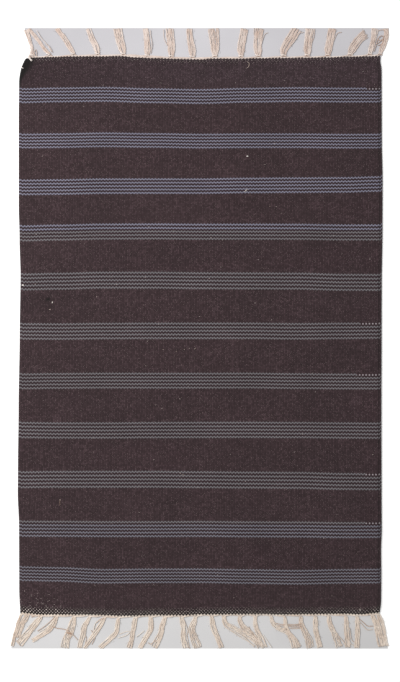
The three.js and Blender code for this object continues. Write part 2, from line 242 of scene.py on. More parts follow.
# Bands of light lines from the near end: the middle, the pitch of the lines, the warp column from
# which the last line is dotted, and how far the middle sways at each of the places across the rug
SWAY_PLACES = [-291, -238, -159, -79, 0, 79, 159, 238, 291]
BANDS = [
    (-396, 5.30, 222, [3, 2, -1.2, -0.5, -0.4, -1.6, -2.8, -1.3, -0.9]),
    (-320, 5.80, 212, [1.4, 1.3, 0.8, 0.7, 1.1, 0.5, 0.2, -0.9, -0.7]),
    (-238, 6.13, 212, [0.4, 1, 1.2, 1.2, 0.5, -0.1, -0.6, -2.5, -2.8]),
    (-156, 5.88, 222, [0.5, -0.1, -0.1, 0.5, 0.8, 1, 0.6, -0.2, -0.5]),
    (-74, 5.71, 207, [-0.9, -0.2, 0.4, 0.2, 0.2, 0.5, -0.5, -1.2, -1.2]),
    (8, 5.96, 209, [-0.3, -0.6, 0.3, 0.6, 0.6, 0.7, -0.2, 0.5, 1.1]),
    (91, 6.13, 222, [-1.5, -0.4, 1.5, 1.4, 0.5, 0.2, -0.2, -2.2, -2.3]),
    (172, 5.80, 222, [-2.2, -0.9, 0.8, 1, 0.5, 0.6, 0.4, -0.7, -0.6]),
    (248, 5.63, 222, [-2.2, -1.6, -0.1, 0, -0.1, 1, 1.5, 2, 3.4]),
    (323, 5.30, 222, [-0.5, 0.1, 1.5, 0.5, -0.6, 0, 0, -0.8, -0.6]),
    (398, 5.38, 213, [-0.5, 0.7, 1.6, -0.6, -1.9, 0.3, 1.3, 0.4, 0.4]),
]

# Bundles of the fringe: the place across the rug of the root, the width beside the root and at
# the tip, and the points that the middle passes, as places across the rug and distances out
FAR_BUNDLES = [
    (-280, 4, 4.5, [(-280.5, 18), (-285, 33), (-290, 48)]),
    (-277, 3.5, 4, [(-279, 18), (-283, 33), (-287, 48)]),
    (-249, 6.5, 5.5, [(-257.5, 13), (-267, 26), (-280, 41), (-285, 48)]),
    (-209, 8, 7.5, [(-216.5, 16), (-223.5, 28), (-234.5, 42), (-239, 50)]),
    (-170, 12, 7.5, [(-173, 16), (-180, 30), (-186, 48)]),
    (-127, 12, 14.5, [(-130, 16), (-134, 28), (-138, 48)]),
    (-88, 11, 9.5, [(-88, 20), (-89, 33), (-91, 50)]),
    (-48, 13.5, 12, [(-48, 22), (-50, 35), (-51, 52)]),
    (-13, 12.5, 10, [(-14, 20), (-17, 36), (-18, 52)]),
    (24, 13, 18, [(24, 19), (23, 34), (21, 51)]),
    (67.5, 12, 12.5, [(67.5, 19), (70, 35), (73, 51)]),
    (96, 14.5, 13.5, [(95, 14), (95, 28), (98.5, 51)]),
    (138, 14.5, 15, [(138.5, 14), (143.5, 24), (150.5, 34), (160, 50)]),
    (177, 12.5, 14.5, [(178, 18), (179.5, 33), (181, 50)]),
    (211, 13, 12.5, [(212.5, 17), (215.5, 33), (219, 50)]),
    (247.5, 12.5, 14, [(250, 11), (259.5, 25), (267.5, 34), (275, 41)]),
    (280.5, 8.5, 11, [(283.5, 15), (287, 29), (289, 50)]),
    (297.5, 8, 9.5, [(300.5, 13), (304.5, 23), (308, 34), (307, 49)]),
]
NEAR_BUNDLES = [
    (-297, 5.5, 5.5, [(-302, 17), (-307, 34), (-312, 57)]),
    (-287, 9.5, 8.5, [(-294, 16), (-298.5, 28), (-303.5, 43)]),
    (-265, 10.5, 12.5, [(-272, 14), (-283, 28), (-301, 50)]),
    (-239, 9.5, 7, [(-243.5, 16), (-252, 27), (-265, 35.5), (-281, 45)]),
    (-209, 9.5, 16, [(-213, 19), (-217, 30), (-222, 40), (-225, 57)]),
    (-184, 8.5, 9, [(-192, 20), (-195, 34), (-200, 57)]),
    (-159, 8, 6, [(-164, 15), (-171, 26), (-183, 42), (-193, 57)]),
    (-136, 8, 7.5, [(-138, 19), (-140, 29), (-149, 38), (-158, 46), (-167, 57)]),
    (-108, 8.5, 9, [(-111, 22), (-114, 39), (-119, 57)]),
    (-82, 9, 7.5, [(-82, 24), (-90, 37), (-101, 56)]),
    (-59, 9.5, 8.5, [(-63.5, 19), (-66, 34), (-76, 57)]),
    (-31, 8, 9, [(-29, 22), (-28, 39), (-24, 57)]),
    (-8, 9, 14.5, [(-14, 24), (-12, 36), (-4, 57)]),
    (19, 8.5, 8.5, [(21, 19), (25, 32), (35, 57)]),
    (39, 8, 16.5, [(40, 12), (44, 18.5), (54, 24.5), (67, 31.5), (80, 40), (94, 51)]),
    (66, 8, 12.5, [(65.5, 12), (70, 21), (78, 29), (88, 39), (100, 55)]),
    (91, 9, 8.5, [(91, 17), (94, 28), (100, 40), (107, 57)]),
    (117.5, 7.5, 7.5, [(120, 14), (127, 22), (137.5, 28), (147, 33.5), (156, 43), (163, 57)]),
    (139.5, 7.5, 7.5, [(141, 17), (143, 24), (148, 34), (152, 43), (156, 57)]),
    (167, 8, 12.5, [(167, 17), (172, 29), (178, 42), (183, 57)]),
    (191, 8.5, 9, [(191, 17), (192, 31), (198, 57)]),
    (213, 8, 12, [(213, 14), (218.5, 27), (225, 40), (232, 56)]),
    (241, 8, 8.5, [(241.5, 21), (242.5, 36), (244.5, 57)]),
    (260.5, 8.5, 8.5, [(260.5, 21), (259.5, 39), (258.5, 57)]),
    (285.5, 9, 9, [(289, 14), (292.5, 26), (299.5, 57)]),
    (295, 8.5, 9, [(298.5, 14), (302.5, 27), (307.5, 57)]),
]

# Single yarns that stray from the bundles, each with its tone from -1, dark, to 1, pale. Some of the
# darkest are painted shadow: dark yarn laid where only shade shows
FAR_STRAYS = [
    (0.2, [(-82, 8), (-80, 23), (-82, 37), (-83, 47)]), (0.1, [(-55, 22), (-60, 34), (-61, 49)]),
    (0.2, [(19, 22), (14, 39)]), (0.2, [(101, 24), (106, 39), (112, 43)]),
    (-0.5, [(221, 28), (227, 40), (234, 42)]), (0.1, [(160, 40), (171, 43)]),
    (-1, [(287, 8), (291, 19), (294, 28), (297, 33), (302, 34), (303, 29), (298, 26), (293, 29)]),
    (-0.8, [(294, 18), (299, 20), (303, 24), (301, 28), (296, 23), (292, 21)]),
    (-0.6, [(292, 38), (296, 43), (303, 44), (306, 40)]),
    (0.3, [(-247, 9), (-253, 20), (-263, 31), (-271, 44)]),
    (0.1, [(-245, 8), (-249, 16), (-256, 22)]),
    # Painted shadow: a dark yarn along the left edge of this bundle
    (-1.4, [(-250, 4), (-259, 14), (-270, 28), (-283, 43)]),
    (0.3, [(-284, 36), (-287, 42), (-294, 46)]),
    (1.1, [(-281, 20), (-282, 9), (-286, 2), (-283, -2), (-279, -6.5)]),
    (0.9, [(-279, 18), (-281, 8), (-284.5, 2), (-281, -2.5), (-278, -6)]),
    (1.1, [(-278, 16), (-280, 6), (-283, 1), (-280, -3.5), (-277.5, -5)]),
    (-0.2, [(-272, 2), (-271, 8), (-273, 14), (-275, 8), (-274, 3)]),
    (1.2, [(-296, -15), (-294.5, -17), (-292.5, -18.5)]),
]
NEAR_WRAPS = [(-1.6, -217, 31, 4.2), (-0.5, 140, 24, 3.2)]
NEAR_STRAYS = [
    # A real stray, painted darker to take in the shadow beneath it
    (-1.4, [(-245, 20), (-238, 23), (-226, 25), (-217, 28)]),
    (-1.2, [(-241, 4), (-251, 14), (-261, 22), (-270, 28)]),
    (0.2, [(-239, 6), (-249, 17), (-259, 25), (-268, 30)]),
    (-1.2, [(-298.5, 8), (-304, 26), (-309, 47)]),
    (-0.6, [(-193, 32), (-189, 39), (-191, 50)]),
    (0.2, [(-162, 7), (-173, 13), (-177, 26), (-179, 37)]),
    (-1.2, [(-160, 5), (-167, 8), (-172, 13)]),
    (-1, [(-181, 26), (-177, 33), (-175, 40), (-180, 50)]),
    (0.6, [(-135, 31), (-121, 26), (-117, 28), (-124, 33), (-137, 37)]),
    (0.6, [(-93, 26), (-106, 36)]),
    (-0.8, [(-87, 46), (-82, 48), (-74, 42)]),
    (-0.3, [(-27, 8), (-21, 25), (-22, 34), (-18, 56)]),
    (-0.9, [(80, 21), (85, 31), (94, 42)]),
    (0.6, [(104, 35), (109, 42), (118, 56)]),
    # Painted shadow: six dark yarns laid flat where only shade shows between the bundles
    (-1.1, [(124, 15), (133, 17), (140, 17)]),
    (-1.1, [(126, 18), (133, 19.5), (140, 19)]),
    (-1.1, [(145, 16.5), (155, 17), (168, 15.5)]),
    (-1.1, [(145, 18.5), (155, 19.5), (168, 18)]),
    (-1.1, [(146, 20.5), (156, 21.5), (168, 20.5)]),
    (-1.1, [(148, 23), (156, 24), (168, 23)]),
    (-0.4, [(247, 23), (250, 42), (255, 48)]),
    (-1.4, [(264, 9), (271, 15), (277, 20), (286, 20)]),
    (-0.3, [(263, 12), (270, 20), (276, 26), (285, 26)]),
    (0.3, [(247, 45), (250, 51), (257, 53), (262, 56)]),
    (-0.5, [(-305, 47), (-298, 56)]),
    # Painted shade: a dark yarn beneath the heading
    (-1.5, [(-280, 6.5), (-272, 4.5), (-265, 5)]),
    (-0.6, [(-218, 28), (-209, 36), (-203, 43)]),
]

# Bits of warp cotton caught in the face of the cloth: tone, radius, and the places that they pass
FLECKS = [
    (1, 0.75, [(76.3, 296.9), (77.8, 297.3), (79.2, 296.8)]),
    (1.4, 0.9, [(-294.6, 83.5), (-293.1, 84.1), (-291.5, 83.6)]),
    (0.7, 0.55, [(-244.9, 57.3), (-244.6, 55.6), (-244.9, 53.8)]),
    (-0.6, 0.5, [(-249.4, 43.4), (-248.4, 43.9), (-247.5, 43.4)]),
    (-0.6, 0.5, [(-232.9, -271.4), (-231.8, -270.9), (-230.8, -271.4)]),
    (-1.5, 0.2, [(-232, -272), (-232.6, -276), (-231.9, -280)]),
    (0.5, 0.42, [(264.3, -451.2), (263.9, -453), (264.1, -455)]),
    (-0.6, 0.3, [(77, 454.2), (80.3, 451.2), (80.6, 447.4), (78.3, 443.9), (75.4, 442.7)]),
    (0.2, 0.4, [(72.6, 237.9), (75.6, 240.6), (78.2, 243.2)]),
    (-1.2, 0.4, [(114.4, 213.9), (115.4, 214.4)]),
    (-1.2, 0.3, [(81.8, 233.2), (82.4, 232.4)]),
    (-0.8, 0.3, [(-61.9, -22), (-60.8, -22.5)]),
    (-0.8, 0.3, [(-40.2, -25.7), (-39.2, -25.3)]),
    (-0.4, 0.35, [(-27.1, -22.5), (-26, -22)]),
    (-0.4, 0.35, [(-18.8, -20.2), (-17.7, -20.7)]),
    (-0.8, 0.3, [(-8.8, -20.7), (-7.8, -20.2)]),
    (-0.4, 0.4, [(-33.6, -226.2), (-32.6, -227)]),
    (-0.6, 0.35, [(-29.4, -229), (-28, -230.4)]),
]

rng = random.Random(SEED)


def between(a, b, share):
    return a + (b - a) * share


def eased(share):
    share = min(max(share, 0), 1)
    return share * share * (3 - 2 * share)


def wander(rows, at):
    """Eased reading of a table of places and outward distances."""
    if at <= rows[0][0]:
        return rows[0][1]
    for (a, a_out), (b, b_out) in zip(rows, rows[1:]):
        if at < b:
            return between(a_out, b_out, eased((at - a) / (b - a)))
    return rows[-1][1]


def corner_draw(y):
    """Distance by which the turned-under corner draws the left selvedge in."""
    into = (y - (CLOTH_LENGTH / 2 - CORNER_LENGTH)) / CORNER_LENGTH
    share = min(max(into, 0), 1)
    return CORNER_DRAW * (1 - (1 - share**CORNER_BOW) ** (1 / CORNER_BOW))


def rib_x(share, y):
    """Place across the rug of a share of the width, at a height up the rug."""
    from_left = share * CLOTH_WIDTH
    from_right = CLOTH_WIDTH - from_left
    left_pull = (corner_draw(y) - wander(LEFT_EDGE, y)) * max(0, 1 - from_left / SIDE_BLEND)
    right_pull = wander(RIGHT_EDGE, y) * max(0, 1 - from_right / SIDE_BLEND)
    return from_left - CLOTH_WIDTH / 2 + left_pull + right_pull


def end_y(end, x):
    """The woven end: end is 1 for the far end and -1 for the near end."""
    return end * (CLOTH_LENGTH / 2 + wander(FAR_EDGE if end > 0 else NEAR_EDGE, x))


def surface_z(x, y):
    """Height of the cloth away from its rim."""
    across = math.sin(math.tau * x / SWELL_ACROSS + y / SWELL_ALONG)
    along = math.sin(math.tau * y / SWELL_ALONG - x / SWELL_ACROSS)
    from_corner = math.hypot(x + CLOTH_WIDTH / 2, y - CLOTH_LENGTH / 2)
    near = min(max(1 - from_corner / CORNER_REACH, 0), 1)
    return CLOTH_THICKNESS + SWELL_HEIGHT * across * along + CORNER_RISE * near


def place(x, y, z):
    """A point of the tables in the rug's own frame, in metres."""
    return Vector((x, y + CLOTH_SHIFT_Y, z)) * MM


def course_knots(x):
    """Picks and their heights up the rug at a place across it, where the spacing of picks changes."""
    loose = END_PICKS * END_PICK_PITCH
    knots = [(END_ROW, end_y(-1, x)), (END_ROW + END_PICKS, end_y(-1, x) + loose)]
    for number, (middle, line_pitch, _, sway) in enumerate(BANDS):
        pick = FIRST_BAND_PICK + PICKS_A_REPEAT * number + BAND_MIDDLE
        y = middle + wander(list(zip(SWAY_PLACES, sway)), x)
        half = BAND_HALF * line_pitch / PICKS_A_LINE
        knots += [(pick - BAND_HALF, y - half), (pick + BAND_HALF, y + half)]
    knots += [(PICKS - END_ROW - END_PICKS, end_y(1, x) - loose), (PICKS - END_ROW, end_y(1, x))]
    return knots


def course_y(knots, pick):
    """Height up the rug of a pick, from the knots at one place across it."""
    for (a, a_y), (b, b_y) in zip(knots, knots[1:]):
        if pick <= b or b == PICKS - END_ROW:
            return between(a_y, b_y, (pick - a) / (b - a))


def row_picks():
    """The pick on which each row of the mesh lies."""
    first = FIRST_BAND_PICK + BAND_MIDDLE - BAND_HALF
    steps = [(first, ROWS_AT_END)]
    for number in range(len(BANDS)):
        start = first + PICKS_A_REPEAT * number
        steps += [(start + 2 * BAND_HALF, ROWS_A_BAND), (start + PICKS_A_REPEAT, ROWS_BETWEEN)]
    steps[-1] = (PICKS - SECOND_ROW, ROWS_AT_END)
    rows = [END_ROW, SECOND_ROW]
    for finish, count in steps:
        start = rows[-1]
        rows += [between(start, finish, step / count) for step in range(1, count + 1)]
    rows.append(PICKS - END_ROW)
    return rows


def finished(name, bm, material, smooth=True):
    """Turns a bmesh into a piece with its material."""
    mesh = bpy.data.meshes.new(name)
    bm.to_mesh(mesh)
    bm.free()
    for face in mesh.polygons:
        face.use_smooth = smooth
    mesh.materials.append(material)
    piece = bpy.data.objects.new(name, mesh)
    bpy.context.scene.collection.objects.link(piece)
    return piece


def lower_rim(bm, rim, depth, inset, courses, layers):
    """Drops a wall from the rim to a depth, moved inwards, and gives back its lower edges."""
    plain = Vector((CLOTH_WIDTH, CLOTH_LENGTH, 0)) / 2 - Vector((RIM_AT_SIDE, RIM_AT_END, 0))
    made = bmesh.ops.extrude_edge_only(bm, edges=rim)["geom"]
    lower = [item for item in made if isinstance(item, bmesh.types.BMEdge) and item.is_boundary]
    for vert in (item for item in made if isinstance(item, bmesh.types.BMVert)):
        above = next(edge.other_vert(vert) for edge in vert.link_edges if edge not in lower)
        courses[vert] = courses[above]
        for layer in layers:
            vert[layer] = above[layer]
        inward = Vector((-vert.co.x, CLOTH_SHIFT_Y * MM - vert.co.y, 0))
        step = Vector([
            math.copysign(1, way) if abs(way) > limit * MM else 0 for way, limit in zip(inward, plain)
        ])
        vert.co += step * inset * MM
        vert.co.z = depth * MM
    return lower


def woven_cloth(material):
    """The woven body: a ribbed grid that follows warp and weft, with a rounded rim and a flat back."""
    rows = row_picks()
    last_column = 2 * WARP_COLUMNS
    last_row = len(rows) - 1
    bm = bmesh.new()
    bmesh.ops.create_grid(bm, x_segments=last_column, y_segments=last_row, size=0.5)
    weave = bm.loops.layers.uv.new("weave")
    turned = bm.verts.layers.float.new("turned")
    dotted = bm.verts.layers.float.new("dotted")
    knots = [
        course_knots((column / last_column - 0.5) * CLOTH_WIDTH)
        for column in range(last_column + 1)
    ]
    courses = {}
    for vert in bm.verts:
        column = round((vert.co.x + 0.5) * last_column)
        row = round((vert.co.y + 0.5) * last_row)
        pick = rows[row]
        tooth = 0
        if row in (0, last_row) and column % 2:
            tooth = 1 if column % 4 == 3 else -1
            pick += TOOTH[1 if row else -1] * tooth
        y = course_y(knots[column], pick)
        x = rib_x(column / last_column, y)
        to_side = min(column, last_column - column) * CLOTH_WIDTH / last_column
        to_end = min(abs(end_y(1, x) - y), abs(y - end_y(-1, x)))
        y += TURN_LIFT * eased(1 - to_side / TURN_REACH) * min(to_end / TURN_FADE, 1)
        inward = min(min(to_side, to_end) / RIM_RADIUS, 1)
        roundness = math.sqrt(1 - (1 - inward) ** 2)
        rib = RIB_HEIGHT * (0.5 if column % 2 else -0.5) * inward
        z = between(RIM_HEIGHT, surface_z(x, y) + rib, roundness)
        if tooth:
            z = RIM_HEIGHT + (TOOTH_LIFT if (tooth > 0) == (row > 0) else 0)
        vert.co = place(x, y, z)
        # The turned mask holds painted shade at the turned-under corner, and the dark slub
        vert[turned] = max(corner_shade(x, y), slub_shade(x, y))
        vert[dotted] = float(column >= 2 * dotted_from(pick))
        courses[vert] = (column / last_column, pick / PICKS)

    rim = [edge for edge in bm.edges if edge.is_boundary]
    for depth, inset in ((RIM_HEIGHT / 2, RIM_INSET), (0, RIM_FOOT)):
        rim = lower_rim(bm, rim, depth, inset, courses, (turned, dotted))
    bmesh.ops.contextual_create(bm, geom=rim)
    bmesh.ops.recalc_face_normals(bm, faces=bm.faces)

    # The walls come out in an order that differs between runs, so all faces are put in a fixed one
    bm.verts.index_update()
    numbers = {face: [vert.index for vert in face.verts] for face in bm.faces}
    bm.faces.sort(key=lambda face: min(numbers[face]) * len(bm.verts) + max(numbers[face]))
    for face in bm.faces:
        for loop in face.loops:
            loop[weave].uv = courses[loop.vert]
    return finished("rug_cloth_woven", bm, material)


def corner_shade(x, y):
    """How deep a point lies in the painted shade of the turned-under far left corner, from 0 to 1."""
    from_side = x - rib_x(0, y)
    wide = between(*CORNER_WIDTHS, eased((y - CORNER_WIDENS_FROM) / CORNER_WIDENS_OVER))
    fade = eased((from_side - wide * CORNER_ALL_DARK) / (wide * CORNER_FADES))
    return eased((y - CORNER_DARK_FROM) / CORNER_DARK_OVER) * (1 - fade)


def slub_shade(x, y):
    """How deep a point lies in the one dark slub of the ground, from 0 to 1."""
    deep = 1 - math.hypot(x - DARK_SLUB[0], y - DARK_SLUB[1]) / SLUB_REACH
    return min(max(2 * deep, 0), 1)


def dotted_from(pick):
    """The warp column from which the last line of the nearest band is dotted."""
    number = round((pick - FIRST_BAND_PICK - BAND_MIDDLE) / PICKS_A_REPEAT)
    return BANDS[min(max(number, 0), len(BANDS) - 1)][2]


# Yarns


def straight_yarn(sides, rings):
    """A closed tube one unit tall and one unit in radius."""
    bm = bmesh.new()
    around = bm.loops.layers.uv.new("yarn")
    bm.verts.layers.float.new("tone")
    bmesh.ops.create_cone(bm, cap_ends=True, segments=sides, radius1=1, radius2=1, depth=1)
    bmesh.ops.translate(bm, verts=bm.verts, vec=(0, 0, 0.5))
    upright = [edge for edge in bm.edges if abs(edge.verts[0].co.z - edge.verts[1].co.z) > 0.5]
    bmesh.ops.subdivide_edges(bm, edges=upright, cuts=rings - 2)
    for face in bm.faces:
        turns = [math.atan2(vert.co.y, vert.co.x) / math.tau % 1 for vert in face.verts]
        over = max(turns) - min(turns) > 0.5
        for loop, turn in zip(face.loops, turns):
            loop[around].uv = (turn + 1 if over and turn < 0.5 else turn, loop.vert.co.z)
    return bm


def smooth_line(points, count):
    """Even steps along a smooth line through the points, in the units of the points."""
    ends = [2 * points[0] - points[1], *points, 2 * points[-1] - points[-2]]
    dense = []
    for a, b, c, d in zip(ends, ends[1:], ends[2:], ends[3:]):
        for step in range(LINE_STEPS):
            t = step / LINE_STEPS
            bend = 2 * a - 5 * b + 4 * c - d + t * (3 * (b - c) + d - a)
            dense.append(b + 0.5 * t * (c - a + t * bend))
    dense.append(points[-1])
    reach = [0]
    for a, b in zip(dense, dense[1:]):
        reach.append(reach[-1] + (b - a).length)
    line = []
    at = 0
    for step in range(count):
        wanted = reach[-1] * step / (count - 1)
        while at + 2 < len(reach) and reach[at + 1] < wanted:
            at += 1
        share = (wanted - reach[at]) / max(reach[at + 1] - reach[at], 1e-9)
        line.append(dense[at].lerp(dense[at + 1], min(share, 1)))
    return line, reach[-1]


class YarnHeap:
    """Collects yarns of one fringe into a single mesh."""

    def __init__(self):
        self.whole = bmesh.new()
        self.whole.loops.layers.uv.new("yarn")
        self.whole.verts.layers.float.new("tone")
        self.straight = {}

    def lay(self, points, radius, tone, sides=YARN_SIDES, rings=YARN_RINGS, taper=0.75, spindle=0):
        """Lays a yarn along millimetre points of the tables. A spindle of 1 draws both ends in."""
        line, length = smooth_line(points, rings)
        if (sides, rings) not in self.straight:
            self.straight[sides, rings] = straight_yarn(sides, rings)
        yarn = self.straight[sides, rings].copy()
        hoops = []
        side = Vector((0.3, 0.2, 1))
        for ring, middle in enumerate(line):
            ahead = line[min(ring + 1, rings - 1)] - line[max(ring - 1, 0)]
            ahead.normalize()
            side = (side - ahead * side.dot(ahead)).normalized()
            hoops.append((middle, side, ahead.cross(side)))
        around = yarn.loops.layers.uv["yarn"]
        tones = yarn.verts.layers.float["tone"]
        for face in yarn.faces:
            for loop in face.loops:
                loop[around].uv.y *= length
        for vert in yarn.verts:
            ring = round(vert.co.z * (rings - 1))
            middle, side, up = hoops[ring]
            thick = radius * (taper if ring == rings - 1 else 1)
            thick *= 1 - spindle * (2 * (ring + 0.5) / rings - 1) ** 4
            point = middle + (side * vert.co.x + up * vert.co.y) * thick
            vert.co = place(point.x, point.y, max(point.z, 0))
            vert[tones] = tone
        mesh = bpy.data.meshes.new("laid yarn")
        yarn.to_mesh(mesh)
        yarn.free()
        self.whole.from_mesh(mesh)
        bpy.data.meshes.remove(mesh)


def bundle_columns(bundles):
    """Shares the warp columns out between the bundles, in proportion to their widths."""
    total = sum(row[1] for row in bundles)
    given = 0
    columns = []
    for row in bundles:
        first = round(WARP_COLUMNS * given / total)
        given += row[1]
        columns.append(list(range(first, round(WARP_COLUMNS * given / total))))
    return columns


def beyond(end, x, out, near, z=0):
    """A point at a distance out from the woven end, as it is at the place near."""
    return Vector((x, end_y(end, near) + end * out, z))


def way_out(end, root, column, knotted, high):
    """The first points of a warp end: out of the cloth, and along the heading to its bundle's neck."""
    exit_x = rib_x((column + 0.5) / WARP_COLUMNS, end * CLOTH_LENGTH / 2)
    away = exit_x - root
    leg = math.copysign(min(abs(away), FAR_LEG if knotted else NEAR_LEG), away)
    sag = rng.uniform(0, FAR_SAG if knotted else NEAR_SAG)
    return [
        beyond(end, exit_x, -3, exit_x, 1.5),
        beyond(end, exit_x, 0.6, exit_x, 1.2),
        beyond(end, between(exit_x, root + leg, 0.5), 1.4 + sag, exit_x, high),
        beyond(end, root + leg, 2.2 + 0.6 * sag, root, high),
    ]


def lay_bundle(heap, end, bundle, columns, knotted, tone):
    """The warp ends of one bundle, which gather into strands: out of the cloth, along the heading,
    through the neck and out to the tip. In a knotted bundle the two halves change sides."""
    root, root_width, tip_width, spots = bundle
    furthest = TRIM_LINE[end] - abs(end_y(end, root))
    route = [beyond(end, root, NECK_OUT, root)]
    route += [beyond(end, x, min(out, furthest), root) for x, out in spots]
    middle = smooth_line(route, MIDDLE_POINTS)[0]
    strands = max(2, round(len(columns) / STRAND_YARNS))
    bundle_tone = tone + rng.uniform(-BUNDLE_SHADE, BUNDLE_SHADE)
    ragged = FREE_TIP_RAGGED if spots[-1][1] < FREE_TIP_OUT else 1
    for strand in range(strands):
        first = len(columns) * strand // strands
        members = columns[first:len(columns) * (strand + 1) // strands]
        seat = (strand + strands // 2) % strands if knotted else strand
        slot = (seat - (strands - 1) / 2) / strands
        phase = rng.uniform(0, math.tau)
        turns = rng.uniform(*STRAND_TURNS)
        sway = rng.uniform(*STRAND_SWAY)
        twist = rng.uniform(*STRAND_TWIST) * rng.choice((1, 1, 1, -1))
        strand_tone = bundle_tone + rng.uniform(-STRAND_SHADE, STRAND_SHADE)
        strand_shorter = rng.uniform(0, ragged)
        over = strand >= strands / 2
        for number, column in enumerate(members):
            points = way_out(end, root, column, knotted, 1.9 if over else 0.8)
            drift = rng.choice((-1, 1)) * rng.uniform(*DRIFT) if rng.random() < DRIFT_CHANCE else 0
            start = math.tau * number / len(members) + phase
            for step, spot in enumerate(middle):
                along = step / (MIDDLE_POINTS - 1)
                ahead = middle[min(step + 1, MIDDLE_POINTS - 1)] - middle[max(step - 1, 0)]
                right = Vector((ahead.y, -ahead.x, 0)).normalized() * end
                pinch = between(FAR_PINCH if knotted else NEAR_PINCH, 1, eased(along * 5))
                width = between(root_width, tip_width, along) * pinch
                half = min(width / strands / 2 * STRAND_FILL, STRAND_HALF_MOST) - YARN_RADIUS
                turn = start + math.tau * twist * along
                offset = (
                    slot * width
                    + sway * math.sin(math.tau * turns * along + phase)
                    + max(half, 0.2) * math.cos(turn)
                    + drift * along * along
                    + rng.uniform(-YARN_WOBBLE, YARN_WOBBLE)
                )
                lift = YARN_RADIUS + STRAND_HEIGHT * (1 + math.sin(turn))
                lift += CROSSING_LIFT * over * knotted * (1 - eased(along * 7))
                points.append(spot + right * offset + Vector((0, 0, lift)))
            ahead = (points[-1] - points[-2]).normalized()
            shorter = strand_shorter + rng.uniform(0, 0.8 * ragged)
            trimmed = (end * points[-1].y - TRIM_LINE[end]) / max(end * ahead.y, 0.3)
            points[-1] = points[-1] - ahead * max(shorter, trimmed)
            thick = YARN_RADIUS * rng.uniform(*YARN_THICKNESS)
            heap.lay(points, thick, strand_tone + rng.uniform(-YARN_SHADE, YARN_SHADE))
    lay_hairs(heap, middle, (root_width + tip_width) / 2, tone)


def lay_hairs(heap, middle, width, tone):
    """Fine fibres that stand off the sides of a bundle."""
    for _ in range(HAIRS_A_BUNDLE):
        step = rng.randrange(1, MIDDLE_POINTS - 1)
        ahead = (middle[step + 1] - middle[step - 1]).normalized()
        right = Vector((ahead.y, -ahead.x, 0)) * rng.choice((-1, 1))
        start = middle[step] + right * width * 0.4
        reach = rng.uniform(2, 5)
        bend = rng.uniform(-1.5, 1.5)
        points = [
            start + Vector((0, 0, 1.4)),
            start + right * reach * 0.45 + ahead * (1.5 + bend) + Vector((0, 0, rng.uniform(0.8, 2))),
            start + right * reach * 0.8 + ahead * 3.5 + Vector((0, 0, rng.uniform(0.4, 1.4))),
            start + right * (reach - abs(bend)) + ahead * (4.5 + bend) + Vector((0, 0, 0.3)),
        ]
        shade = rng.uniform(0.1, 0.7)
        heap.lay(points, HAIR_RADIUS, tone + shade, sides=3, rings=9, taper=0.5)


def lay_wrap(heap, end, x, out, half, tone):
    """Two turns of a warp end drawn tight round a bundle."""
    for shift in (-0.7, 0.7):
        points = []
        for step in range(9):
            turn = math.pi * (-0.2 + 1.4 * step / 8)
            across = math.cos(turn)
            high = max(YARN_RADIUS, 3 * math.sin(turn))
            points.append(beyond(end, x + half * across, out + shift + 0.8 * across, x, high))
        heap.lay(points, YARN_RADIUS, tone, rings=24, taper=1)


def lay_half_knot(heap, end, bundle):
    """One warp end that winds slantwise over the neck of a bundle, and below it a dark yarn laid as
    painted shade between the legs.
    """
    root, root_width, _, spots = bundle
    lean = (spots[0][0] - root) / spots[0][1]
    half = root_width * 0.3 + 0.6
    points = []
    for step in range(11):
        turn = math.pi * (-0.15 + 1.3 * step / 10)
        out = NECK_OUT - 0.4 + 4.2 * (step / 10 - 0.5)
        high = max(YARN_RADIUS, 3.2 * (0.3 + 0.7 * math.sin(turn)))
        points.append(beyond(end, root + lean * out + half * math.cos(turn), out, root, high))
    heap.lay(points, YARN_RADIUS * 1.15, rng.uniform(0.2, 0.5), rings=30, taper=1)
    # A dark yarn laid as painted shade below the knot, between the legs
    shade_yarn = []
    for step in range(7):
        share = step / 6 - 0.5
        shade_yarn.append(beyond(end, root + 7 * share, 3.6 - 5 * share * share, root, 1))
    heap.lay(shade_yarn, YARN_RADIUS * 1.3, -1.5, rings=16, taper=1)


def lay_heading_cord(heap, end, out, high, radius):
    """Two plies twisted round each other along the woven end."""
    for ply in range(2):
        points = []
        for step in range(CORD_POINTS + 1):
            x = rib_x(between(0.002, 0.998, step / CORD_POINTS), end * CLOTH_LENGTH / 2)
            turn = math.tau * step / CORD_TURN_POINTS + math.pi * ply
            off = radius * 0.8
            points.append(beyond(end, x, out + off * math.cos(turn), x, high + off * math.sin(turn)))
        heap.lay(points, radius, rng.uniform(0.3, 0.45), rings=CORD_RINGS, taper=1)


def cotton_flecks(material):
    """The bits of cotton caught in the face of the cloth, thin at both ends."""
    heap = YarnHeap()
    for tone, radius, places in FLECKS:
        points = [Vector((x, y, surface_z(x, y) + FLECK_LIFT + radius / 2)) for x, y in places]
        heap.lay(points, radius, tone, sides=8, rings=12, taper=1, spindle=1)
    return finished("cotton_flecks", heap.whole, material)


def fringe(name, end, tone, bundles, strays, wraps, cords, material, knotted=False):
    """One fringe: its bundles, the yarns that stray from them, wraps, and the cords of the heading."""
    heap = YarnHeap()
    for bundle, columns in zip(bundles, bundle_columns(bundles)):
        lay_bundle(heap, end, bundle, columns, knotted, tone)
        if knotted:
            lay_half_knot(heap, end, bundle)
    for shade, spots in strays:
        points = [beyond(end, x, out, spots[0][0]) for x, out in spots]
        for point, (_, out) in zip(points, spots):
            on_cloth = out < 2
            under = surface_z(point.x, point.y) if on_cloth else rng.uniform(0, 1.5)
            point.z = STRAY_RADIUS + under
        heap.lay(points, STRAY_RADIUS, tone + shade)
    for shade, x, out, half in wraps:
        lay_wrap(heap, end, x, out, half, tone + shade)
    for out, high, radius in cords:
        lay_heading_cord(heap, end, out, high, radius)
    return finished(name, heap.whole, material)


# Materials


